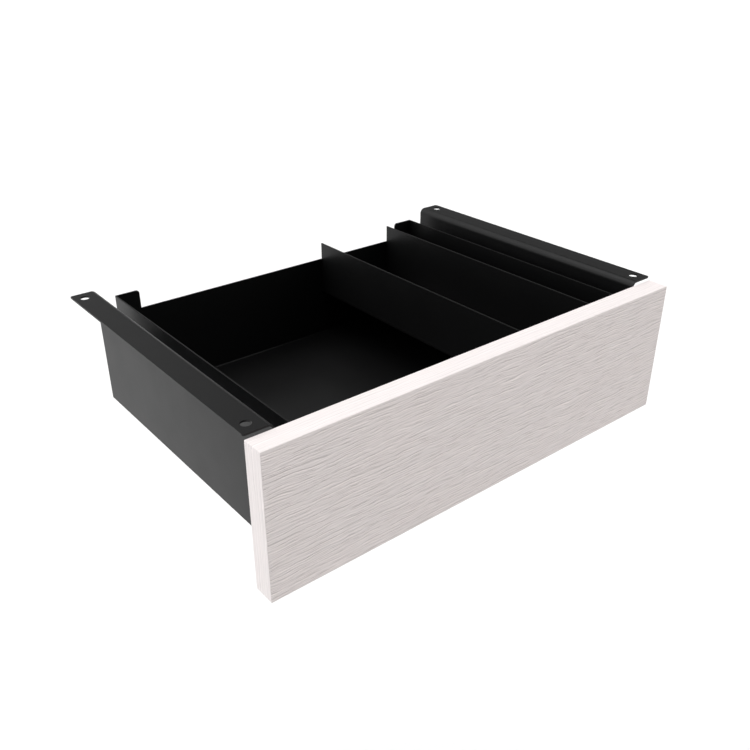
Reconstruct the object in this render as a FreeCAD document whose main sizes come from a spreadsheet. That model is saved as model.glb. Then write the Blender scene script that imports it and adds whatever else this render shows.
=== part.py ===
# Under-desk drawer: two folded steel brackets that screw up into a desktop, a folded steel
# drawer box with a raised organiser tray, a wood-look front board, and a pair of 45 mm
# full-extension ball-bearing rails between them.
#
# Millimetres. The origin is the centre of the four desk screw holes, on the top of the bracket
# flanges. +X is to the right of a person at the drawer, +Y runs to its rear and +Z is up.
# The drawer is modelled closed.

import FreeCAD, Part
import math
import os
import re
import Sketcher

DOC = FreeCAD.newDocument("under_desk_drawer")
SHEET = DOC.addObject("Spreadsheet::Sheet", "Sizes")
NEAR = 0.01   # how close a coordinate must be for an edge to count as lying on it

SIZES = {
    # Brackets: an L of sheet, flange outward along the top, leg down beside the drawer.
    "bracket_span": 350,        # outer edge to outer edge of the two flanges
    "bracket_length": 233.6,
    "bracket_height": 88,
    "bracket_sheet": 1.2,
    "leg_inset": 18.3,          # flange's outer edge to the leg's outer face
    "bend_inside": 3.2,
    "hole_inset": 7.2,          # desk hole's centre from the flange's outer edge
    "hole_setback": 9,          # desk hole's centre from the flange's end
    "hole_width": 6.6,
    "flange_corner": 1.5,

    # Front board: a core with edging on its four sides.
    "front_width": 350,
    "front_height": 100.5,
    "front_depth": 16,
    "front_drop": 2.7,          # top of the flanges down to the top of the board
    "front_gap": 0.3,           # brackets' front ends to the board's back, when closed
    "edging": 2,
    "edge_round": 0.7,

    # Drawer box, folded from one sheet with welded corners.
    "box_width": 285.6,
    "box_length": 234.4,
    "box_height": 84,
    "box_drop": 8,              # top of the flanges down to the top of the box sides
    "box_sheet": 1,
    "fold_inside": 1,
    "corner_round": 0.6,
    "notch_depth": 14.4,        # how far the rear wall is cut down between its corner tabs
    "tab_width": 18.6,
    "tab_round": 2.5,

    # Organiser tray and its divider.
    "tray_left": 41.75,         # left face of the tray's upstand, right of the centre line
    "tray_height": 45,
    "tray_flange": 10,
    "divider_left": 114.2,
    "divider_foot": 10,
    "fit_gap": 0.2,             # each end of the tray to the box wall

    # Telescopic rails. "in" sizes run from the bracket's leg towards the box, "half" sizes run
    # up and down from the middle of the rail.
    "rail_level": -50,
    "rail_front": -114,
    "rail_length": 200,
    "rail_sheet": 1.2,
    "rail_bend": 0.6,
    "rail_thickness": 12.7,
    "outer_half": 22.5,
    "outer_depth": 9,
    "outer_lip": 3.6,
    "middle_start": 2.4,
    "middle_half": 17.7,
    "middle_depth": 8.6,
    "middle_lip": 3.5,
    "middle_setback": 1,        # rail's front end to the middle member's front end
    "inner_half": 12.9,
    "inner_depth": 7.9,
    "member_length": 192,       # middle and inner members

    # Balls and the cages that space them.
    "ball_radius": 1.75,
    "ball_play": 0.05,
    "cage_sheet": 0.6,
    "cage_bend": 0.3,
    "cage_length": 86,
    "ball_pitch": 12,
    "balls_in_row": 7,
    "outer_cage_start": 1.5,
    "outer_cage_half": 19.8,
    "outer_cage_depth": 5.7,
    "outer_cage_front": -62,
    "outer_ball_in": 4.65,
    "outer_ball_half": 19.5,
    "inner_cage_start": 3.9,
    "inner_cage_half": 15,
    "inner_cage_depth": 5.5,
    "inner_cage_front": -60,
    "inner_ball_in": 6.9,
    "inner_ball_half": 14.7,

    # Rubber buffer that stops the members at the rear of each outer rail.
    "buffer_length": 6,
    "buffer_half": 9,
    "buffer_depth": 6,

    # Rivets from the inner rail to the box side.
    "rivet_head": 4,
    "rivet_crown": 2.6,
    "rivet_rise": 1.2,
    "rivet_shank": 2,
    "rivet_tail": 3,
    "front_rivet": -92,
    "rear_rivet": 58,
    "rivet_level": -47,         # above the tray's floor and its flange

    # Release lever in each inner rail, on its own pin.
    "lever_in": 8.6,            # leg-side face of the lever
    "lever_thickness": 2,
    "lever_half": 2.4,
    "lever_pivot": -38,
    "lever_reach": 20,
    "lever_eye": 4.2,
    "lever_tip": 4,
    "pin_radius": 1.5,
    "pin_head": 2.6,
    "pin_head_rise": 0.8,
    "pin_play": 0.08,

    # Pan-head screws from the box's front wall into the board.
    "screw_across": 128,
    "upper_screw": -28,
    "lower_screw": -76,
    "screw_head": 4,
    "screw_rise": 2.4,
    "screw_shank": 1.9,
    "screw_length": 11,
    "screw_point": 3,
    "recess_length": 4.4,
    "recess_width": 0.9,
    "recess_depth": 1.3,
}

# Places that several parts share, from the sizes above.
FRONT_END = "(0 - bracket_length / 2)"
BOARD_BACK = f"({FRONT_END} - front_gap)"
BOARD_FRONT = f"({BOARD_BACK} - front_depth)"
BOARD_TOP = "(0 - front_drop)"
BOARD_BOTTOM = f"({BOARD_TOP} - front_height)"
BOX_TOP = "(0 - box_drop)"
BOX_BOTTOM = f"({BOX_TOP} - box_height)"
BOX_REAR = f"({BOARD_BACK} + box_length)"
BOX_SIDE = "(box_width / 2)"
BOX_INSIDE = f"({BOX_SIDE} - box_sheet)"
LEG_OUTER = "(bracket_span / 2 - leg_inset)"
LEG_INNER = f"({LEG_OUTER} - bracket_sheet)"
TRAY_BOTTOM = f"({BOX_TOP} - tray_height)"
TRAY_FLOOR = f"({TRAY_BOTTOM} + box_sheet)"
TRAY_FRONT = f"({BOARD_BACK} + box_sheet + fit_gap)"
TRAY_LENGTH = "(box_length - 2 * box_sheet - 2 * fit_gap)"
MEMBER_FRONT = "(rail_front + middle_setback)"

HANDS = {"left": -1, "right": 1}
PARTS = []


# ---------------------------------------------------------------- sheet and expressions

def fill_sheet():
    """Writes every driving size into its own cell and names the cell."""
    for row, (alias, number) in enumerate(SIZES.items(), 1):
        SHEET.set(f"A{row}", alias)
        SHEET.set(f"B{row}", str(number))
        SHEET.setAlias(f"B{row}", alias)
    DOC.recompute()


def full(text):
    """The expression with each size's name led by the sheet's."""
    return re.sub(r"[a-z_]+", lambda word: f"Sizes.{word.group()}", str(text))


def bind(thing, **sizes):
    """Binds properties of a feature to expressions; a double underscore stands for a dot."""
    for name, text in sizes.items():
        thing.setExpression(name.replace("__", "."), full(text))


def place(thing, across, along, up):
    """Binds the position of a feature."""
    bind(thing, Placement__Base__x=across, Placement__Base__y=along, Placement__Base__z=up)


def mirror(side, text):
    """A distance from the centre line, to the left or to the right of it."""
    return f"({side} * ({text}))"


def inward(side, text):
    """The X of a place that lies so far in from a bracket leg's inner face."""
    return mirror(side, f"{LEG_INNER} - ({text})")


def span(side, near, far):
    """The lowest X and the length of a piece that reaches from one such place to another."""
    return inward(side, far if side > 0 else near), f"(({far}) - ({near}))"


# ---------------------------------------------------------------- features

def new_body(label):
    body = DOC.addObject("PartDesign::Body", label)
    body.Label = label
    PARTS.append(body)
    return body


def origin_feature(body, role):
    return next(item for item in body.Origin.OriginFeatures if item.Role == role)


def outline(body, name, corners, along):
    """A closed straight-sided sketch in the XZ plane, moved to a place along Y."""
    sketch = body.newObject("Sketcher::SketchObject", name)
    sketch.AttachmentSupport = (origin_feature(body, "XZ_Plane"), "")
    sketch.MapMode = "FlatFace"
    bind(sketch, AttachmentOffset__Base__z=f"0 - ({along})")
    count = len(corners)
    # The corners start on a circle, clockwise, and their distances then move them to their places.
    turns = [-2 * math.pi * number / count for number in range(count)]
    start = [FreeCAD.Vector(math.cos(turn), math.sin(turn), 0) for turn in turns]
    for number in range(count):
        sketch.addGeometry(Part.LineSegment(start[number], start[(number + 1) % count]))
    for number, corner in enumerate(corners):
        after = (number + 1) % count
        sketch.addConstraint(Sketcher.Constraint("Coincident", number, 2, after, 1))
        for axis, text, now in zip("XY", corner, (start[number].x, start[number].y)):
            distance = Sketcher.Constraint("Distance" + axis, -1, 1, number, 1, now)
            index = sketch.addConstraint(distance)
            sketch.setExpression(f"Constraints[{index}]", full(text))
    return sketch


def extrude(body, corners, along, length):
    """Pads an XZ outline from one place along Y, towards the rear."""
    pad = body.newObject("PartDesign::Pad", "Pad")
    pad.Profile = outline(body, "Outline", corners, along)
    pad.Reversed = True
    bind(pad, Length=length)
    DOC.recompute()
    return pad


def block(body, kind, low, size):
    """An additive or subtractive box, from its lowest corner and its three sizes."""
    box = body.newObject(f"PartDesign::{kind}Box", kind + "Box")
    bind(box, Length=size[0], Width=size[1], Height=size[2])
    place(box, *low)
    DOC.recompute()
    return box


AIMS = {
    "X": FreeCAD.Rotation(FreeCAD.Vector(0, 1, 0), 90),
    "Y": FreeCAD.Rotation(FreeCAD.Vector(1, 0, 0), -90),
    "Z": FreeCAD.Rotation(),
}


def rod(body, kind, aim, base, radius, length):
    """An additive or subtractive cylinder from a base point along +X, +Y or +Z."""
    cylinder = body.newObject(f"PartDesign::{kind}Cylinder", kind + "Cylinder")
    cylinder.Placement = FreeCAD.Placement(FreeCAD.Vector(), AIMS[aim])
    bind(cylinder, Radius=radius, Height=length)
    place(cylinder, *base)
    DOC.recompute()
    return cylinder


def number_of(text):
    """The value of an expression, in millimetres, for picking edges by their place."""
    probe = DOC.getObject("Probe") or DOC.addObject("App::FeaturePython", "Probe")
    if "Value" not in probe.PropertiesList:
        probe.addProperty("App::PropertyFloat", "Value")
    bind(probe, Value=text)
    DOC.recompute()
    return probe.Value


def pick(shape, **texts):
    """Names of the straight edges that keep the given coordinates from end to end."""
    wanted = {axis: number_of(text) for axis, text in texts.items()}
    names = []
    for number, edge in enumerate(shape.Edges, 1):
        ends = [vertex.Point for vertex in edge.Vertexes]
        kept = [abs(getattr(end, axis) - wanted[axis]) < NEAR for end in ends for axis in wanted]
        if len(ends) == 2 and all(kept):
            names.append(f"Edge{number}")
    if not names:
        raise ValueError(f"no edge at {texts}")
    return names


def bend(body, radius, *edges):
    """Rounds the edges of the body that lie at the given places."""
    base = body.Tip
    names = [name for texts in edges for name in pick(base.Shape, **texts)]
    fillet = body.newObject("PartDesign::Fillet", "Bend")
    fillet.Base = (base, names)
    bind(fillet, Radius=radius)
    DOC.recompute()
    return fillet


def repeat(body, original, length, count):
    """Repeats a feature along +Y."""
    pattern = body.newObject("PartDesign::LinearPattern", "Row")
    pattern.Originals = [original]
    pattern.Direction = (origin_feature(body, "Y_Axis"), [""])
    bind(pattern, Length=length, Occurrences=count)
    body.Tip = pattern
    DOC.recompute()
    return pattern


def solid(kind, name, aim="Z", base=(0, 0, 0), **sizes):
    """A Part primitive with bound sizes and a bound position."""
    thing = DOC.addObject(f"Part::{kind}", name)
    thing.Placement = FreeCAD.Placement(FreeCAD.Vector(), AIMS[aim])
    bind(thing, **sizes)
    place(thing, *base)
    return thing


def joined(name, pieces):
    fuse = DOC.addObject("Part::MultiFuse", name)
    fuse.Shapes = pieces
    fuse.Refine = True
    return fuse


def group(label, pieces):
    """Identical separate solids that share one node."""
    compound = DOC.addObject("Part::Compound", label)
    compound.Label = label
    compound.Links = pieces
    PARTS.append(compound)


# ---------------------------------------------------------------- brackets

def bracket(hand, side):
    body = new_body(f"bracket_{hand}")
    edge, inner, outer = (mirror(side, text) for text in ("bracket_span / 2", LEG_INNER, LEG_OUTER))
    under = "(0 - bracket_sheet)"
    foot = "(0 - bracket_height)"
    corners = [(inner, 0), (edge, 0), (edge, under), (outer, under), (outer, foot), (inner, foot)]
    extrude(body, corners, FRONT_END, "bracket_length")
    bend(body, "bend_inside + bracket_sheet", {"x": inner, "z": "0"})
    bend(body, "bend_inside", {"x": outer, "z": under})
    ends = [{"x": edge, "y": f"{end} * bracket_length / 2"} for end in (-1, 1)]
    bend(body, "flange_corner", *ends)
    hole_across = mirror(side, "bracket_span / 2 - hole_inset")
    for end in (-1, 1):
        hole_along = f"{end} * (bracket_length / 2 - hole_setback)"
        base = (hole_across, hole_along, "0 - 2 * bracket_sheet")
        rod(body, "Subtractive", "Z", base, "hole_width / 2", "3 * bracket_sheet")


# ---------------------------------------------------------------- rails

def channel(hand, side, name, start, half, depth, lip, front, length, sheet, fold):
    """A C channel open towards the box. With a lip, its edges turn in to hold the balls."""
    body = new_body(f"{name}_{hand}")
    near, web = inward(side, start), inward(side, f"{start} + {sheet}")
    far, lip_face = inward(side, f"{start} + {depth}"), inward(side, f"{start} + {depth} - {sheet}")
    top, low = (f"(rail_level {sign} {half})" for sign in "+-")
    top_in, low_in = f"({top} - {sheet})", f"({low} + {sheet})"
    upper = [(far, top), (far, f"{top} - {lip}"), (lip_face, f"{top} - {lip}"), (lip_face, top_in)]
    lower = [(lip_face, low_in), (lip_face, f"{low} + {lip}"), (far, f"{low} + {lip}"), (far, low)]
    if not lip:
        upper = [(far, top), (far, top_in)]
        lower = [(far, low_in), (far, low)]
    corners = [(near, top), *upper, (web, top_in), (web, low_in), *lower, (near, low)]
    extrude(body, corners, front, length)
    outside = [near, far] if lip else [near]
    inside = [web, lip_face] if lip else [web]
    bend(body, f"{fold} + {sheet}", *({"x": x, "z": z} for x in outside for z in (top, low)))
    bend(body, fold, *({"x": x, "z": z} for x in inside for z in (top_in, low_in)))
    return body


def outer_rail(hand, side):
    channel(hand, side, "outer_rail", "0", "outer_half", "outer_depth", "outer_lip",
            "rail_front", "rail_length", "rail_sheet", "rail_bend")


def middle_rail(hand, side):
    channel(hand, side, "middle_rail", "middle_start", "middle_half", "middle_depth", "middle_lip",
            MEMBER_FRONT, "member_length", "rail_sheet", "rail_bend")


def inner_rail(hand, side):
    """The channel on the box side, open towards the leg, with its rivet and pin holes."""
    body = new_body(f"inner_rail_{hand}")
    face, web = inward(side, "rail_thickness"), inward(side, "rail_thickness - rail_sheet")
    tips = inward(side, "rail_thickness - inner_depth")
    top, low = (f"(rail_level {sign} inner_half)" for sign in "+-")
    top_in, low_in = f"({top} - rail_sheet)", f"({low} + rail_sheet)"
    corners = [(face, top), (tips, top), (tips, top_in), (web, top_in),
               (web, low_in), (tips, low_in), (tips, low), (face, low)]
    extrude(body, corners, MEMBER_FRONT, "member_length")
    bend(body, "rail_bend + rail_sheet", {"x": face, "z": top}, {"x": face, "z": low})
    bend(body, "rail_bend", {"x": web, "z": top_in}, {"x": web, "z": low_in})
    start, length = span(side, "rail_thickness - 2 * rail_sheet", "rail_thickness + rail_sheet")
    for along, up, radius in (("front_rivet", "rivet_level", "rivet_shank"),
                              ("rear_rivet", "rivet_level", "rivet_shank"),
                              ("lever_pivot", "rail_level", "pin_radius")):
        rod(body, "Subtractive", "X", (start, along, up), radius, length)


def cage(hand, side, name):
    """A thin channel with a pocket for each ball in its top and bottom strips."""
    body = channel(hand, side, f"{name}_cage", f"{name}_cage_start", f"{name}_cage_half",
                   f"{name}_cage_depth", None, f"{name}_cage_front", "cage_length",
                   "cage_sheet", "cage_bend")
    base = (inward(side, f"{name}_ball_in"), first_ball(name),
            f"rail_level - {name}_cage_half - cage_sheet")
    height = f"2 * ({name}_cage_half + cage_sheet)"
    pocket = rod(body, "Subtractive", "Z", base, "ball_radius + ball_play", height)
    repeat(body, pocket, "ball_pitch * (balls_in_row - 1)", "balls_in_row")


def first_ball(name):
    row = "ball_pitch * (balls_in_row - 1)"
    return f"({name}_cage_front + (cage_length - {row}) / 2)"


def balls(hand, side, name):
    """Two rows of separate balls, one above and one below the rail's middle."""
    pieces = []
    for level in "+-":
        for number in range(SIZES["balls_in_row"]):
            base = (inward(side, f"{name}_ball_in"), f"{first_ball(name)} + {number} * ball_pitch",
                    f"rail_level {level} {name}_ball_half")
            pieces.append(solid("Sphere", "Ball", base=base, Radius="ball_radius"))
    group(f"{name}_balls_{hand}", pieces)


def buffer_block(hand, side):
    """The rubber stop inside the rear end of the outer rail."""
    body = new_body(f"rail_buffer_{hand}")
    near, far = inward(side, "rail_sheet"), inward(side, "rail_sheet + buffer_depth")
    top, low = (f"(rail_level {sign} buffer_half)" for sign in "+-")
    front = "rail_front + rail_length - buffer_length"
    extrude(body, [(near, top), (far, top), (far, low), (near, low)], front, "buffer_length")
    bend(body, "rail_sheet", {"x": far, "z": top}, {"x": far, "z": low})


# ---------------------------------------------------------------- rail rivets and release levers

def disc(name, side, near, far, centre, radius):
    """A cylinder across the rail gap, between two depths in from the leg."""
    start, length = span(side, near, far)
    return solid("Cylinder", name, "X", (start, *centre), Radius=radius, Height=length)


def rivets(hand, side):
    """Each rivet: a domed head in the rail, a shank through both sheets, a tail in the box."""
    pieces = []
    seat, inside = "(rail_thickness - rail_sheet)", "(rail_thickness + box_sheet)"
    for centre in (("front_rivet", "rivet_level"), ("rear_rivet", "rivet_level")):
        brim = disc("Brim", side, f"{seat} - rivet_rise / 2", seat, centre, "rivet_head")
        crown = disc("Crown", side, f"{seat} - rivet_rise", seat, centre, "rivet_crown")
        shank = disc("Shank", side, seat, inside, centre, "rivet_shank")
        tail = disc("Tail", side, inside, f"{inside} + rivet_rise", centre, "rivet_tail")
        pieces.append(joined("Rivet", [brim, crown, shank, tail]))
    group(f"rail_rivets_{hand}", pieces)


def lever_pin(hand, side):
    seat = "(lever_in - pin_play)"
    centre = ("lever_pivot", "rail_level")
    head = disc("Head", side, f"{seat} - pin_head_rise", seat, centre, "pin_head")
    shank = disc("Shank", side, seat, "rail_thickness", centre, "pin_radius")
    pin = joined(f"lever_pin_{hand}", [head, shank])
    pin.Label = f"lever_pin_{hand}"
    PARTS.append(pin)


def release_lever(hand, side):
    """A flat bar with an eye on the pin, a thumb pad in front and a catch behind.

    The two rails are the same part turned over, so the right-hand catch points up.
    """
    body = new_body(f"release_lever_{hand}")
    start, thickness = span(side, "lever_in", "lever_in + lever_thickness")
    front, low = "(lever_pivot - lever_reach)", "(rail_level - lever_tip)"
    bar_low = (start, front, "rail_level - lever_half")
    block(body, "Additive", bar_low, (thickness, "2 * lever_reach", "2 * lever_half"))
    eye = (start, "lever_pivot", "rail_level")
    rod(body, "Additive", "X", eye, "lever_eye", thickness)
    block(body, "Additive", (start, front, low), (thickness, "2 * lever_tip", "2 * lever_tip"))
    catch_low = (start, "lever_pivot + lever_reach - lever_half", low if side < 0 else "rail_level")
    block(body, "Additive", catch_low, (thickness, "lever_half", "lever_tip"))
    rod(body, "Subtractive", "X", eye, "pin_radius + pin_play", thickness)


# ---------------------------------------------------------------- drawer box

def drawer_box():
    body = new_body("drawer_box")
    left, low, size = f"0 - {BOX_SIDE}", BOX_BOTTOM, ("box_width", "box_length", "box_height")
    block(body, "Additive", (left, BOARD_BACK, low), size)
    uprights = [{"x": mirror(side, BOX_SIDE), "y": y} for side in (-1, 1) for y in (BOARD_BACK, BOX_REAR)]
    bend(body, "corner_round", *uprights)
    inside_size = ("box_width - 2 * box_sheet", "box_length - 2 * box_sheet", "box_height")
    inside_low = (f"0 - {BOX_INSIDE}", f"{BOARD_BACK} + box_sheet", f"{low} + box_sheet")
    block(body, "Subtractive", inside_low, inside_size)
    notch_low = (f"tab_width - {BOX_SIDE}", f"{BOX_REAR} - 2 * box_sheet", f"{BOX_TOP} - notch_depth")
    notch_size = ("box_width - 2 * tab_width", "3 * box_sheet", "2 * notch_depth")
    block(body, "Subtractive", notch_low, notch_size)
    tab_edges = [{"x": mirror(side, f"{BOX_SIDE} - tab_width"), "z": BOX_TOP} for side in (-1, 1)]
    bend(body, "tab_round", *tab_edges)
    floor = f"{low} + box_sheet"
    folds = [{"x": mirror(side, BOX_INSIDE), "z": floor} for side in (-1, 1)]
    folds += [{"y": f"{BOARD_BACK} + box_sheet", "z": floor}, {"y": f"{BOX_REAR} - box_sheet", "z": floor}]
    bend(body, "fold_inside", *folds)
    brims = [{"x": mirror(side, BOX_SIDE), "z": low} for side in (-1, 1)]
    brims += [{"y": BOARD_BACK, "z": low}, {"y": BOX_REAR, "z": low}]
    bend(body, "fold_inside + box_sheet", *brims)
    for across, up in screw_places():
        base = (across, f"{BOARD_BACK} - box_sheet", up)
        rod(body, "Subtractive", "Y", base, "screw_shank", "3 * box_sheet")
    for side in HANDS.values():
        start = f"{mirror(side, BOX_SIDE)} - 2 * box_sheet"
        for along in ("front_rivet", "rear_rivet"):
            base = (start, along, "rivet_level")
            rod(body, "Subtractive", "X", base, "rivet_shank", "4 * box_sheet")


def organiser_tray():
    """A raised floor with a tall upstand on its left and a short flange down on its right."""
    body = new_body("organiser_tray")
    left, right = "tray_left", BOX_INSIDE
    inner_left, inner_right = f"({left} + box_sheet)", f"({right} - box_sheet)"
    flange = f"({TRAY_BOTTOM} - tray_flange)"
    corners = [(left, BOX_TOP), (inner_left, BOX_TOP), (inner_left, TRAY_FLOOR), (right, TRAY_FLOOR),
               (right, flange), (inner_right, flange), (inner_right, TRAY_BOTTOM), (left, TRAY_BOTTOM)]
    extrude(body, corners, TRAY_FRONT, TRAY_LENGTH)
    bend(body, "fold_inside + box_sheet", {"x": left, "z": TRAY_BOTTOM}, {"x": right, "z": TRAY_FLOOR})
    bend(body, "fold_inside", {"x": inner_left, "z": TRAY_FLOOR}, {"x": inner_right, "z": TRAY_BOTTOM})


def tray_divider():
    """An upright sheet with a foot on the tray's floor."""
    body = new_body("tray_divider")
    left, inner = "divider_left", "(divider_left + box_sheet)"
    toe, foot_top = f"({inner} + divider_foot)", f"({TRAY_FLOOR} + box_sheet)"
    corners = [(left, BOX_TOP), (inner, BOX_TOP), (inner, foot_top), (toe, foot_top),
               (toe, TRAY_FLOOR), (left, TRAY_FLOOR)]
    extrude(body, corners, TRAY_FRONT, TRAY_LENGTH)
    bend(body, "fold_inside + box_sheet", {"x": left, "z": TRAY_FLOOR})
    bend(body, "fold_inside", {"x": inner, "z": foot_top})


# ---------------------------------------------------------------- front board

def screw_places():
    return [(mirror(side, "screw_across"), up) for side in (-1, 1) for up in ("upper_screw", "lower_screw")]


def front_board():
    body = new_body("front_board")
    low = ("edging - front_width / 2", BOARD_FRONT, f"{BOARD_BOTTOM} + edging")
    size = ("front_width - 2 * edging", "front_depth", "front_height - 2 * edging")
    block(body, "Additive", low, size)
    for across, up in screw_places():
        base = (across, f"{BOARD_BACK} - screw_length", up)
        rod(body, "Subtractive", "Y", base, "screw_shank", "2 * screw_length")


def edge_band(name, low, size, *rounded):
    body = new_body(f"edge_band_{name}")
    block(body, "Additive", low, size)
    bend(body, "edge_round", *rounded)


def edge_bands():
    faces = (BOARD_FRONT, BOARD_BACK)
    for name, level, start in (("top", BOARD_TOP, f"{BOARD_TOP} - edging"),
                               ("bottom", BOARD_BOTTOM, BOARD_BOTTOM)):
        ends = [mirror(side, "front_width / 2") for side in (-1, 1)]
        rounded = [{"y": y, "z": level} for y in faces] + [{"x": x, "z": level} for x in ends]
        rounded += [{"x": x, "y": y} for x in ends for y in faces]
        edge_band(name, ("0 - front_width / 2", BOARD_FRONT, start),
                  ("front_width", "front_depth", "edging"), *rounded)
    for name, side in HANDS.items():
        outer = mirror(side, "front_width / 2")
        start = f"{outer} - edging * (1 + {side}) / 2"
        low = (start, BOARD_FRONT, f"{BOARD_BOTTOM} + edging")
        edge_band(name, low, ("edging", "front_depth", "front_height - 2 * edging"),
                  *({"x": outer, "y": y} for y in faces))


def front_screws():
    """Each screw: a pan head with a cross recess, a shank into the board, and a point."""
    pieces = []
    seat = f"({BOARD_BACK} + box_sheet)"
    for across, up in screw_places():
        head = solid("Cylinder", "Head", "Y", (across, seat, up), Radius="screw_head", Height="screw_rise")
        shank = solid("Cylinder", "Shank", "Y", (across, f"{BOARD_BACK} - screw_length + screw_point", up),
                      Radius="screw_shank", Height="screw_length - screw_point + 2 * box_sheet")
        point = solid("Cone", "Point", "Y", (across, f"{BOARD_BACK} - screw_length", up),
                      Radius1="screw_shank / 4", Radius2="screw_shank", Height="screw_point")
        slots = []
        for wide, tall in (("recess_length", "recess_width"), ("recess_width", "recess_length")):
            base = (f"{across} - {wide} / 2", f"{seat} + screw_rise - recess_depth", f"{up} - {tall} / 2")
            slots.append(solid("Box", "Slot", base=base, Length=wide, Width="2 * recess_depth", Height=tall))
        screw = DOC.addObject("Part::Cut", "Screw")
        screw.Base = joined("ScrewBlank", [head, shank, point])
        screw.Tool = joined("Recess", slots)
        pieces.append(screw)
    group("front_screws", pieces)


# ---------------------------------------------------------------- the whole drawer

def build():
    fill_sheet()
    for hand, side in HANDS.items():
        bracket(hand, side)
        outer_rail(hand, side)
        middle_rail(hand, side)
        inner_rail(hand, side)
        for name in ("outer", "inner"):
            cage(hand, side, name)
            balls(hand, side, name)
        buffer_block(hand, side)
        rivets(hand, side)
        lever_pin(hand, side)
        release_lever(hand, side)
    drawer_box()
    organiser_tray()
    tray_divider()
    front_board()
    edge_bands()
    front_screws()
    DOC.recompute()


def check():
    """Stops if any object failed or any part's shape is missing or broken."""
    for thing in DOC.Objects:
        if {"Invalid", "Error"} & set(thing.State):
            raise RuntimeError(f"{thing.Name} failed: {thing.State}")
    for part in PARTS:
        if part.Shape.isNull() or not part.Shape.isValid():
            raise RuntimeError(f"{part.Label} has no valid shape")
        print(f"{part.Label}: {len(part.Shape.Solids)} solids, {part.Shape.Volume:.1f} mm3")


def export():
    os.makedirs("parts", exist_ok=True)
    for part in PARTS:
        part.Shape.exportStep(f"parts/{part.Label}.step")


build()
check()
export()
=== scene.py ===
import math

import bmesh
import bpy
from mathutils import Matrix, Vector, noise


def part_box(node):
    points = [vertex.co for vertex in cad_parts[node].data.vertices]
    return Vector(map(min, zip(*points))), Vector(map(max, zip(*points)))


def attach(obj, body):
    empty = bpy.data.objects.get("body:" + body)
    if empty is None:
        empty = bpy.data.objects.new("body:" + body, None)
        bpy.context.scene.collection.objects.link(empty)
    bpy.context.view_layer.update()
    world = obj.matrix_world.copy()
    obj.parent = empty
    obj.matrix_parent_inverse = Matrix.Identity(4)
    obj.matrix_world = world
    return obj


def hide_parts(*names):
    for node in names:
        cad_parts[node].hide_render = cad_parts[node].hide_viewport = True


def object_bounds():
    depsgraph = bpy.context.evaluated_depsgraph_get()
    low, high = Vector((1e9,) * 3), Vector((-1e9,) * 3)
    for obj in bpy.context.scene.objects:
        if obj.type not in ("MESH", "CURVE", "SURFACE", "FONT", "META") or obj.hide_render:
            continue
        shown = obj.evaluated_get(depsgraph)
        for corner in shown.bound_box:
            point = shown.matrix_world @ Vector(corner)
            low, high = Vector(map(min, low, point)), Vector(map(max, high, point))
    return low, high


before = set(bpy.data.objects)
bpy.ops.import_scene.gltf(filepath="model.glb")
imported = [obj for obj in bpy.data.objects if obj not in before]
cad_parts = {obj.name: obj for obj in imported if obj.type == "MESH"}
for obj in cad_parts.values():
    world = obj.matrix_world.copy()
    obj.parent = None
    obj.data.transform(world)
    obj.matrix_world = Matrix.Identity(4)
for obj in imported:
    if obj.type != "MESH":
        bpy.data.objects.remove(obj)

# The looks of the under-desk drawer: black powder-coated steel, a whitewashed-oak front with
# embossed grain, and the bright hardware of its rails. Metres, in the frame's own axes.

CAD_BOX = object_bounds()
MM = 0.001
CENTRE = (CAD_BOX[0] + CAD_BOX[1]) / 2

# Camera: it stands in front, to the left and above, and aims a little below the middle.
CAMERA_AZIMUTH = math.radians(-39)
CAMERA_ELEVATION = math.radians(28.24)
CAMERA_DISTANCE = 622.7 * MM
CAMERA_AIM = CENTRE + Vector((-4.5, -6.1, -14.1)) * MM
CAMERA_LENS = 40          # for a 36 mm sensor
CAMERA_SENSOR = 36

# Studio: a white floor as far below the desktop as under a real desk, a sky and five softboxes.
FLOOR_DROP = 0.7
FLOOR_RADIUS = 60
FLOOR_SIDES = 64
FLOOR_WHITE = 0.82
SKY = ((0.0, 0.95), (0.13, 0.42), (0.35, 0.1), (1.0, 0.08))    # height of the direction, brightness
SOFTBOX_SPREAD = math.radians(60)
SOFTBOXES = (             # name, the direction that it shines from, strength
    ("top_softbox", (-0.1, 0.1, 1), 1.8),
    ("left_softbox", (-0.8, 0.5, 0.6), 1.4),
    ("right_softbox", (0.9, -0.2, 0.6), 1.4),
    ("back_softbox", (0, 0.8, 1), 0.6),
    ("front_softbox", (0.3, -1, 0.5), 0.35),
)

# The board: a core behind a thin front sheet, inside four edge bands.
BOARD_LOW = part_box("edge_band_bottom")[0]
BOARD_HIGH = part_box("edge_band_top")[1]
FACE_SHEET = 1 * MM       # thickness
BOARD_ROUND = 0.7 * MM    # radius of the outer edges
ROUND_STEPS = 4           # mesh rows over half of a rounded edge
SHEET_MESH = (1.7 * MM, 1 * MM, 0.23 * MM)       # mesh sizes along x, y and z
CORE_MESH = (3 * MM, 7 * MM, 0.4 * MM)
LONG_BAND_MESH = (1.7 * MM, 0.25 * MM, 0.25 * MM)
END_BAND_MESH = (0.3 * MM, 0.3 * MM, 0.3 * MM)
SHARP_ANGLE = math.radians(50)
NEARLY = 0.999            # of a whole, allowing for rounding errors
FACING = 0.7              # a normal with this much of y belongs to the front or the back
SCREW_HEAD = 4 * MM       # radius
SCREW_PILOT = 1.95 * MM   # radius of the board's holes for the screws
PILOT_SPARE = 0.2 * MM    # how much longer those holes are than the screws

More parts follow.
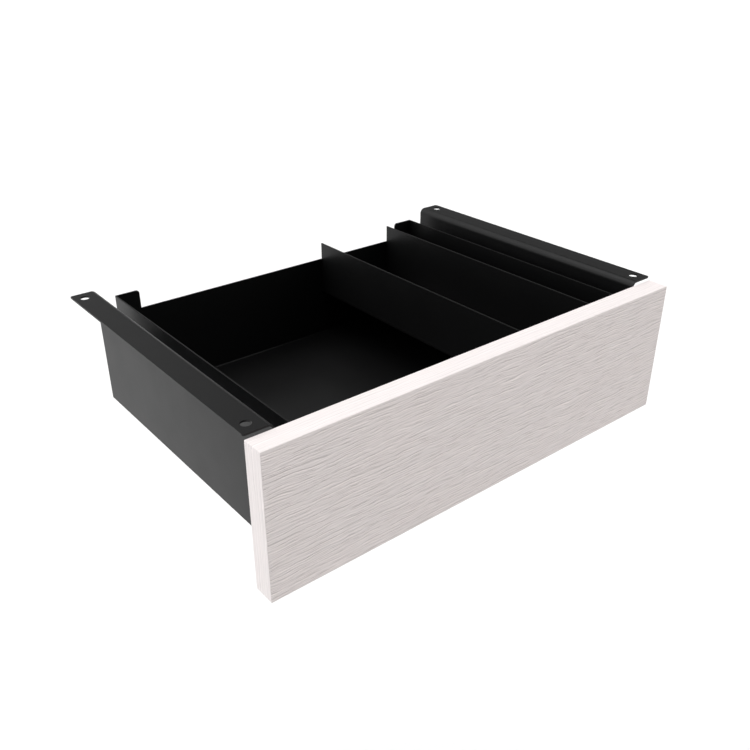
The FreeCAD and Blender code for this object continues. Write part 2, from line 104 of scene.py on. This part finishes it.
# The board's grain: grooves cut inwards, each with a raised lip below it.
GRAIN_DEPTH = 0.36 * MM
EDGE_GRAIN_DEPTH = 0.05 * MM
EDGE_TONE = 0.55          # how far the grain's colour, its painted groove shade and painted lip highlight show on the thin sides
EDGE_STRETCH = 2          # how much longer the lines are on the thin sides
RIM_FADE = 1.6 * MM       # the grain fades out this near the board's outer edges
SWAY_RIM = 8 * MM         # this far in, the mesh rows follow the fibres fully
GROOVE_REACH = 0.34 * MM  # half of a groove's width
LIP_PLACE = 1.9           # from a groove's middle to its lip's, in groove reaches
LIP_REACH = 1.1           # half of a lip's width, in groove reaches
LIP_SHARE = 0.25          # a lip's height, as a share of the grain's depth
WIDE_GROOVES = (30 * MM, 2.6 * MM, 0.2)          # length of a waver, spacing, seed
FINE_GROOVES = (19 * MM, 1.6 * MM, 5.4)
FINE_SHARE = 0.65         # the fine grooves' depth beside the wide ones'
WAVER = 0.7               # how far a groove wavers, in spacings
WAVER_WIDTH = 2.2         # how many spacings waver together
BREAK_LENGTH = 0.4        # how often a groove fades out and in, beside its waver
BREAK_SEED = 20
SWAYS = (                 # length along the fibres, width across them, swing, seed
    (37 * MM, 30 * MM, 1.1 * MM, 3.1),
    (9 * MM, 7 * MM, 0.5 * MM, 7.7),
    (3.6 * MM, 3 * MM, 0.22 * MM, 1.3),
)

# The whitewash's brightness and warmth, on the thin edges and on the faces.
EDGE_WHITE, EDGE_TINT = 0.765, (1, 0.932, 0.922)
FACE_WHITE, FACE_TINT = 0.665, (1, 0.915, 0.896)

STEEL_EASE = 0.1 * MM     # how far a sheet's cut edges are eased


# ---------------------------------------------------------------- node materials

class Look:
    """A new node material with one Principled shader, and short ways to add nodes to it."""

    def __init__(self, name, colour, roughness, metallic=0.0, specular=0.5):
        self.material = bpy.data.materials.new(name)
        self.material.use_nodes = True
        self.tree = self.material.node_tree
        self.shader = self.tree.nodes["Principled BSDF"]
        self.shader.inputs["Base Color"].default_value = (*colour, 1)
        self.shader.inputs["Roughness"].default_value = roughness
        self.shader.inputs["Metallic"].default_value = metallic
        self.shader.inputs["Specular IOR Level"].default_value = specular
        self.place = self.node("TexCoord").outputs["Object"]

    def node(self, kind, **settings):
        made = self.tree.nodes.new("ShaderNode" + kind)
        for name, value in settings.items():
            setattr(made, name, value)
        return made

    def link(self, output, socket):
        self.tree.links.new(output, socket)

    def stretched(self, *sizes):
        """The place in the object, divided by a size in metres along each axis."""
        mapping = self.node("Mapping")
        mapping.inputs["Scale"].default_value = [1 / size for size in sizes]
        self.link(self.place, mapping.inputs["Vector"])
        return mapping.outputs["Vector"]

    def noise(self, *sizes, detail=2.0, rough=0.5):
        """Soft noise whose blotches have the given sizes."""
        texture = self.node("TexNoise")
        texture.inputs["Scale"].default_value = 1
        texture.inputs["Detail"].default_value = detail
        texture.inputs["Roughness"].default_value = rough
        self.link(self.stretched(*sizes), texture.inputs["Vector"])
        return texture.outputs["Fac"]

    def fitted(self, value, low, high, start=0.35, end=0.65):
        """Maps the range start to end of a value onto low to high."""
        ranged = self.node("MapRange")
        ranged.inputs["From Min"].default_value = start
        ranged.inputs["From Max"].default_value = end
        ranged.inputs["To Min"].default_value = low
        ranged.inputs["To Max"].default_value = high
        self.link(value, ranged.inputs["Value"])
        return ranged.outputs["Result"]

    def attribute(self, name):
        return self.node("Attribute", attribute_name=name).outputs["Fac"]

    def mixed(self, share, first, second):
        """One colour blended into another; each is a colour or a node's output."""
        mix = self.node("Mix", data_type="RGBA")
        self.link(share, mix.inputs["Factor"])
        for value, socket in ((first, mix.inputs["A"]), (second, mix.inputs["B"])):
            if isinstance(value, tuple):
                socket.default_value = (*value, 1)
            else:
                self.link(value, socket)
        return mix.outputs["Result"]

    def colour(self, output):
        self.link(output, self.shader.inputs["Base Color"])

    def roughness(self, output):
        self.link(output, self.shader.inputs["Roughness"])

    def bump(self, *layers):
        """Each layer is a height output and its depth in metres."""
        normal = None
        for height, depth in layers:
            bump = self.node("Bump")
            bump.inputs["Strength"].default_value = 1
            bump.inputs["Distance"].default_value = depth
            self.link(height, bump.inputs["Height"])
            if normal:
                self.link(normal, bump.inputs["Normal"])
            normal = bump.outputs["Normal"]
        self.link(normal, self.shader.inputs["Normal"])


def powder_coat():
    look = Look("powder_coat", (0.0045, 0.0045, 0.0047), 0.38, specular=0.21)
    cloud = look.noise(24 * MM, 24 * MM, 24 * MM)
    speck = look.noise(0.7 * MM, 0.7 * MM, 0.7 * MM, detail=3)
    look.colour(look.mixed(look.fitted(speck, 0, 1), (0.0035, 0.0035, 0.0037), (0.0055, 0.0055, 0.0057)))
    look.roughness(look.fitted(cloud, 0.365, 0.39))
    look.bump((speck, 0.012 * MM), (look.noise(2.2 * MM, 2.2 * MM, 2.2 * MM), 0.01 * MM))
    return look.material


def plated_steel(name, pale, dull, roughness, along):
    """Bright rolled steel: long rolling lines, faint cloudy patches and small pits."""
    look = Look(name, pale, roughness, metallic=1.0)
    lines = look.noise(*along, detail=4, rough=0.6)
    cloud = look.noise(14 * MM, 14 * MM, 14 * MM, detail=3)
    pits = look.noise(0.5 * MM, 0.5 * MM, 0.5 * MM)
    tone = look.mixed(look.fitted(cloud, 0, 1), dull, pale)
    shade = look.mixed(look.fitted(lines, 0, 0.35), tone, tuple(0.6 * part for part in dull))
    look.colour(shade)
    look.roughness(look.fitted(lines, roughness - 0.06, roughness + 0.1))
    look.bump((lines, 0.006 * MM), (pits, 0.004 * MM))
    return look.material


def ball_steel():
    look = Look("ball_steel", (0.72, 0.72, 0.74), 0.1, metallic=1.0)
    grease = look.noise(1.6 * MM, 1.6 * MM, 1.6 * MM, detail=3)
    look.colour(look.mixed(look.fitted(grease, 0, 1, 0.5, 0.7), (0.72, 0.72, 0.74), (0.5, 0.46, 0.38)))
    look.roughness(look.fitted(grease, 0.07, 0.3, 0.45, 0.7))
    return look.material


def moulded(name, dark, light, roughness, grain):
    """Black rubber or plastic with a moulded texture."""
    look = Look(name, dark, roughness, specular=0.45)
    texture = look.noise(grain, grain, grain, detail=3)
    cloud = look.noise(9 * MM, 9 * MM, 9 * MM)
    look.colour(look.mixed(look.fitted(cloud, 0, 1), dark, light))
    look.roughness(look.fitted(texture, roughness - 0.05, roughness + 0.07))
    look.bump((texture, 0.02 * MM))
    return look.material


def oak(white, tint):
    """The wash's tint at a given brightness."""
    return tuple(white * share for share in tint)


def whitewashed_oak(name, streak_sizes, fibre_sizes, cloud_sizes):
    """Whitewash over oak: dull streaks, fibres and clouds; grooves darkened by the grain's own colour plus
    painted shade, lips lightened by a painted highlight.
    """
    look = Look(name, oak(FACE_WHITE, FACE_TINT), 0.5, specular=0.35)
    streaks = look.noise(*streak_sizes, detail=5, rough=0.62)
    fibres = look.noise(*fibre_sizes, detail=3, rough=0.6)
    clouds = look.noise(*cloud_sizes)
    tone = look.attribute("tone")
    sides = []
    for white, tint in ((EDGE_WHITE, EDGE_TINT), (FACE_WHITE, FACE_TINT)):
        wash = look.mixed(look.fitted(streaks, 0, 1), oak(white * 1.03, tint), oak(white * 0.96, tint))
        wash = look.mixed(look.fitted(clouds, 0, 0.4), wash, oak(white * 0.98, EDGE_TINT))
        fibre = look.mixed(look.fitted(fibres, 0, 0.45, 0.5, 0.75), wash, oak(white * 0.85, tint))
        # Grooves darker: partly the grain's own colour, partly painted shade standing in for the shadow
        # inside each groove.
        dark = look.mixed(look.fitted(tone, 0, 0.85, 0.1, 1), fibre, oak(white * 0.6, tint))
        # Lips paler: a painted highlight, where each lip faces the light from above.
        sides.append(look.mixed(look.fitted(tone, 0, 0.9, 0, -0.9), dark, oak(white * 1.3, tint)))
    look.colour(look.mixed(look.attribute("face"), *sides))
    look.roughness(look.fitted(fibres, 0.44, 0.56))
    look.bump((fibres, 0.02 * MM), (streaks, 0.02 * MM))
    return look.material


# ---------------------------------------------------------------- the front board

def hill(value):
    """A smooth hump, 1 at 0 and 0 beyond 1 on both sides."""
    near = max(0.0, 1 - abs(value))
    return near * near * (3 - 2 * near)


def grooves(along, level, length, spacing, seed):
    """One set of wavering grooves and their lips: the strengths of the two at a place, 0 to 1."""
    waver = noise.noise(Vector((along / length, level / (WAVER_WIDTH * spacing), seed)))
    phase = level / spacing + WAVER * waver
    away = (round(phase) - phase) * spacing / GROOVE_REACH
    breaks = noise.noise(Vector((along / (BREAK_LENGTH * length), level / spacing, seed + BREAK_SEED)))
    share = min(1.0, max(0.0, 0.72 + 1.2 * breaks))
    return hill(away) * share, hill((away - LIP_PLACE) / LIP_REACH) * share


def sway(along, across):
    """How far the fibres swing out of their straight line at a place."""
    swing = 0.0
    for length, width, most, seed in SWAYS:
        swing += noise.noise(Vector((along / length, across / width, seed))) * most
    return swing


def grain(along, across):
    """The embossed grain at a place along and across the fibres: -1 on a lip, 1 in a groove."""
    level = across + sway(along, across)
    wide, wide_lip = grooves(along, level, *WIDE_GROOVES)
    fine, fine_lip = grooves(along, level, *FINE_GROOVES)
    cut = max(wide, FINE_SHARE * fine)
    lip = max(wide_lip, FINE_SHARE * fine_lip)
    return cut - lip * (1 - cut)


def stations(low, high, pitch, low_round, high_round):
    """Places along one axis: evenly spaced, with extra ones over each rounded edge."""
    turns = [math.tan(step * math.pi / 4 / ROUND_STEPS) for step in range(1, ROUND_STEPS + 1)]
    start, end = low + low_round, high - high_round
    count = max(1, round((end - start) / pitch))
    places = [start + (end - start) * step / count for step in range(count + 1)]
    before = [start - low_round * turn for turn in reversed(turns)] if low_round else []
    after = [end + high_round * turn for turn in turns] if high_round else []
    return before + places + after


def lattice(axes, open_low, open_high):
    """Points and faces of a box's surface, from its stations along each axis.

    A side that shows is a grid of quads; a hidden one is a single face with the same rim.
    """
    last = [len(axis) - 1 for axis in axes]
    index = {}

    def point(*steps):
        return index.setdefault(steps, len(index))

    def corner(normal, end, a, b):
        steps = [0, 0, 0]
        steps[normal], steps[(normal + 1) % 3], steps[(normal + 2) % 3] = end, a, b
        return point(*steps)

    faces = []
    for normal in range(3):
        rows, columns = last[(normal + 1) % 3], last[(normal + 2) % 3]
        rim = [(i, 0) for i in range(rows)] + [(rows, j) for j in range(columns)]
        rim += [(i, columns) for i in range(rows, 0, -1)] + [(0, j) for j in range(columns, 0, -1)]
        grid = [[(i, j), (i + 1, j), (i + 1, j + 1), (i, j + 1)] for i in range(rows) for j in range(columns)]
        for end, shows in ((0, open_low[normal]), (last[normal], open_high[normal])):
            for outline in grid if shows else [rim]:
                face = [corner(normal, end, a, b) for a, b in outline]
                faces.append(face if end else face[::-1])
    points = [Vector(axes[axis][steps[axis]] for axis in range(3)) for steps in index]
    return points, faces


def board_piece(name, node, corners, open_low, open_high, pitches, depth_at):
    """A block between two corners, with rounded open edges and grain cut into its open faces.

    open_low and open_high say, for each axis, whether that side shows. depth_at gives the
    depth in metres and the grain's tone at a place, from the place and its normal. On the
    front and back, the rows of points swing with the fibres, so that each groove stays crisp.
    """
    low, high = corners
    low_round = [BOARD_ROUND * shows for shows in open_low]
    high_round = [BOARD_ROUND * shows for shows in open_high]
    axes = [stations(low[i], high[i], pitches[i], low_round[i], high_round[i]) for i in range(3)]
    points, faces = lattice(axes, open_low, open_high)
    core_low, core_high = low + Vector(low_round), high - Vector(high_round)
    tones, fronts = [], []
    for point in points:
        core = Vector(min(max(point[i], core_low[i]), core_high[i]) for i in range(3))
        out = point - core
        reach = max(abs(part) for part in out)
        tone = front = 0.0
        if reach:
            normal = out.normalized()
            front = normal.y ** 2
            point.xyz = core + normal * reach
        if reach > BOARD_ROUND * NEARLY:
            if front > NEARLY:
                rim = min(point.z - low.z, high.z - point.z)
                point.z -= sway(point.x, point.z) * min(1, rim / SWAY_RIM)
            depth, tone = depth_at(point, normal)
            point.xyz -= normal * depth
        tones.append(tone)
        fronts.append(front)
    mesh = bpy.data.meshes.new(name)
    mesh.from_pydata(points, [], faces)
    mesh.attributes.new("tone", "FLOAT", "POINT").data.foreach_set("value", tones)
    mesh.attributes.new("face", "FLOAT", "POINT").data.foreach_set("value", fronts)
    piece = bpy.data.objects.new(name, mesh)
    bpy.context.scene.collection.objects.link(piece)
    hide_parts(node)
    return piece


def relief(tone, front):
    """The cut's depth and the tone that sets the grain's colour, painted groove shade and painted lip
    highlight: full on a face, faint on the board's thin sides.
    """
    deepest = EDGE_GRAIN_DEPTH + (GRAIN_DEPTH - EDGE_GRAIN_DEPTH) * front
    share = LIP_SHARE + (1 - LIP_SHARE if tone > 0 else LIP_SHARE) * tone
    return deepest * share, tone * (EDGE_TONE + (1 - EDGE_TONE) * front)


def rim_fade(point, *axes):
    """0 on the board's outer edges and 1 a little way in, where a side facing these axes ends."""
    inside = [min(point[axis] - BOARD_LOW[axis], BOARD_HIGH[axis] - point[axis]) for axis in axes]
    return min(1.0, max(0.0, *inside) / RIM_FADE)


def lengthwise(point, normal):
    """Grain along the board, in longer and fainter lines on its top and bottom."""
    on_face = abs(normal.y) > FACING
    tone = grain(point.x, point.z) if on_face else grain(point.x / EDGE_STRETCH, point.y)
    return relief(tone * rim_fade(point, 1, 2), normal.y ** 2)


def upright(point, normal):
    """Grain up and down the board's ends, beside the face's own grain."""
    if abs(normal.y) > FACING:
        return lengthwise(point, normal)
    return relief(grain(point.z / EDGE_STRETCH, point.y) * rim_fade(point, 0, 1), 0)


def pilot_holes(core):
    """Cuts the holes that the four screws sit in, by a boolean that is then applied."""
    low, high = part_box("front_screws")
    middle = (low.y + high.y) / 2
    turned = Matrix.Rotation(math.pi / 2, 4, "X")
    tool = bmesh.new()
    for across in (low.x + SCREW_HEAD, high.x - SCREW_HEAD):
        for up in (low.z + SCREW_HEAD, high.z - SCREW_HEAD):
            bmesh.ops.create_cone(
                tool, cap_ends=True, segments=32, radius1=SCREW_PILOT, radius2=SCREW_PILOT,
                depth=high.y - low.y + PILOT_SPARE, matrix=Matrix.Translation((across, middle, up)) @ turned)
    mesh = bpy.data.meshes.new("pilots")
    tool.to_mesh(mesh)
    tool.free()
    pilots = bpy.data.objects.new("pilots", mesh)
    bpy.context.scene.collection.objects.link(pilots)
    cut = core.modifiers.new("pilots", "BOOLEAN")
    cut.object = pilots
    cut.solver = "MANIFOLD"
    evaluated = core.evaluated_get(bpy.context.evaluated_depsgraph_get())
    core.data = bpy.data.meshes.new_from_object(evaluated)
    core.modifiers.clear()
    bpy.data.objects.remove(pilots)


def front_board():
    low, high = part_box("front_board")
    behind = low.y + FACE_SHEET
    sheet = (low, Vector((high.x, behind, high.z)))
    block = (Vector((low.x, behind, low.z)), high)
    face = board_piece("oak_face", "front_board", sheet, (0, 1, 0), (0, 0, 0), SHEET_MESH, lengthwise)
    core = board_piece("board_core", "front_board", block, (0, 0, 0), (0, 1, 0), CORE_MESH, lengthwise)
    pilot_holes(core)
    flat = whitewashed_oak("oak_lengthwise", (90 * MM, 1.6 * MM, 1.6 * MM), (9 * MM, 0.45 * MM, 0.45 * MM),
                           (60 * MM, 18 * MM, 18 * MM))
    tall = whitewashed_oak("oak_upright", (1.6 * MM, 1.6 * MM, 90 * MM), (0.45 * MM, 0.45 * MM, 9 * MM),
                           (18 * MM, 18 * MM, 60 * MM))
    pieces = [(face, "oak_board", flat), (core, "oak_board", flat)]
    bands = (
        ("top", (1, 1, 0), (1, 1, 1), LONG_BAND_MESH, lengthwise, flat),
        ("bottom", (1, 1, 1), (1, 1, 0), LONG_BAND_MESH, lengthwise, flat),
        ("left", (1, 1, 0), (0, 1, 0), END_BAND_MESH, upright, tall),
        ("right", (0, 1, 0), (1, 1, 0), END_BAND_MESH, upright, tall),
    )
    for name, open_low, open_high, pitches, depth_at, look in bands:
        node = f"edge_band_{name}"
        band = board_piece(f"oak_edge_{name}", node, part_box(node), open_low, open_high, pitches, depth_at)
        pieces.append((band, "oak_edging", look))
    for piece, slot, look in pieces:
        piece.data.materials.clear()
        piece.data.materials.append(look)
        piece.data.shade_smooth()
        piece.data.set_sharp_from_angle(angle=SHARP_ANGLE)
        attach(piece, "drawer")


# ---------------------------------------------------------------- steel

def soften(thing, width):
    """Eases the cut edges of a sheet-metal node, by modifiers alone."""
    thing.modifiers.new("weld", "WELD").merge_threshold = 0.001 * MM
    flats = thing.modifiers.new("flats", "DECIMATE")
    flats.decimate_type = "DISSOLVE"
    flats.angle_limit = math.radians(0.5)
    ease = thing.modifiers.new("ease", "BEVEL")
    ease.width = width
    ease.segments = 2
    ease.limit_method = "ANGLE"
    ease.angle_limit = math.radians(40)
    normals = thing.modifiers.new("normals", "WEIGHTED_NORMAL")
    normals.mode = "FACE_AREA"
    normals.keep_sharp = True


def finish_nodes():
    """Gives every node that is shown as it was packed its own material."""
    along_rail = (0.5 * MM, 30 * MM, 0.5 * MM)
    all_ways = (0.6 * MM, 0.6 * MM, 0.6 * MM)
    zinc, zinc_dull = (0.66, 0.67, 0.7), (0.5, 0.52, 0.55)
    cage, cage_dull = (0.46, 0.45, 0.44), (0.34, 0.33, 0.32)
    screw, screw_dull = (0.68, 0.67, 0.63), (0.5, 0.5, 0.48)
    rubber, rubber_pale = (0.012, 0.012, 0.012), (0.02, 0.02, 0.02)
    plastic, plastic_pale = (0.014, 0.014, 0.015), (0.022, 0.022, 0.024)
    looks = {
        "powder_coat": powder_coat(),
        "zinc_steel": plated_steel("zinc_steel", zinc, zinc_dull, 0.3, along_rail),
        "cage_steel": plated_steel("cage_steel", cage, cage_dull, 0.36, along_rail),
        "ball_steel": ball_steel(),
        "buffer_rubber": moulded("buffer_rubber", rubber, rubber_pale, 0.7, 0.4 * MM),
        "lever_plastic": moulded("lever_plastic", plastic, plastic_pale, 0.45, 0.3 * MM),
        "fastener_steel": plated_steel("fastener_steel", screw, screw_dull, 0.26, all_ways),
    }
    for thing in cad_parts.values():
        slot = thing.data.materials[0].name
        if slot in looks and not thing.hide_render:
            thing.material_slots[0].material = looks[slot]
        if slot == "powder_coat":
            soften(thing, STEEL_EASE)


# ---------------------------------------------------------------- studio

def floor():
    """A disc far wider than the view."""
    turns = [2 * math.pi * step / FLOOR_SIDES for step in range(FLOOR_SIDES)]
    rim = [(FLOOR_RADIUS * math.cos(turn), FLOOR_RADIUS * math.sin(turn), -FLOOR_DROP) for turn in turns]
    mesh = bpy.data.meshes.new("studio_floor")
    mesh.from_pydata(rim, [], [list(range(FLOOR_SIDES))])
    ground = bpy.data.objects.new("studio_floor", mesh)
    bpy.context.scene.collection.objects.link(ground)
    look = Look("studio_floor", (FLOOR_WHITE,) * 3, 0.9, specular=0.0)
    mesh.materials.append(look.material)


def sky():
    """A plain backdrop: bright round the horizon, dimmer overhead."""
    world = bpy.data.worlds.new("studio")
    bpy.context.scene.world = world
    world.use_nodes = True
    tree = world.node_tree
    background = tree.nodes["Background"]
    place = tree.nodes.new("ShaderNodeTexCoord")
    parts = tree.nodes.new("ShaderNodeSeparateXYZ")
    ramp = tree.nodes.new("ShaderNodeValToRGB")
    for number, (height, bright) in enumerate(SKY):
        stop = ramp.color_ramp.elements[number] if number < 2 else ramp.color_ramp.elements.new(height)
        stop.position = height
        stop.color = (bright, bright, bright, 1)
    tree.links.new(place.outputs["Generated"], parts.inputs["Vector"])
    tree.links.new(parts.outputs["Z"], ramp.inputs["Fac"])
    tree.links.new(ramp.outputs["Color"], background.inputs["Color"])


def softbox(name, toward, strength):
    """A far, broad light that shines from the given direction."""
    light = bpy.data.lights.new(name, "SUN")
    light.energy = strength
    light.angle = SOFTBOX_SPREAD
    lamp = bpy.data.objects.new(name, light)
    lamp.rotation_mode = "QUATERNION"
    lamp.rotation_quaternion = Vector(toward).to_track_quat("Z", "Y")
    bpy.context.scene.collection.objects.link(lamp)


def camera():
    data = bpy.data.cameras.new("camera")
    data.lens = CAMERA_LENS
    data.sensor_width = CAMERA_SENSOR
    data.clip_start = 10 * MM
    data.clip_end = 2 * FLOOR_RADIUS
    level, height = math.cos(CAMERA_ELEVATION), math.sin(CAMERA_ELEVATION)
    back = Vector((math.sin(CAMERA_AZIMUTH) * level, -math.cos(CAMERA_AZIMUTH) * level, height))
    view = bpy.data.objects.new("camera", data)
    view.location = CAMERA_AIM + back * CAMERA_DISTANCE
    view.rotation_euler = back.to_track_quat("Z", "Y").to_euler()
    bpy.context.scene.collection.objects.link(view)
    bpy.context.scene.camera = view


front_board()
finish_nodes()
floor()
sky()
for box_name, toward, strength in SOFTBOXES:
    softbox(box_name, toward, strength)
camera()
bpy.context.scene.view_settings.view_transform = "Standard"
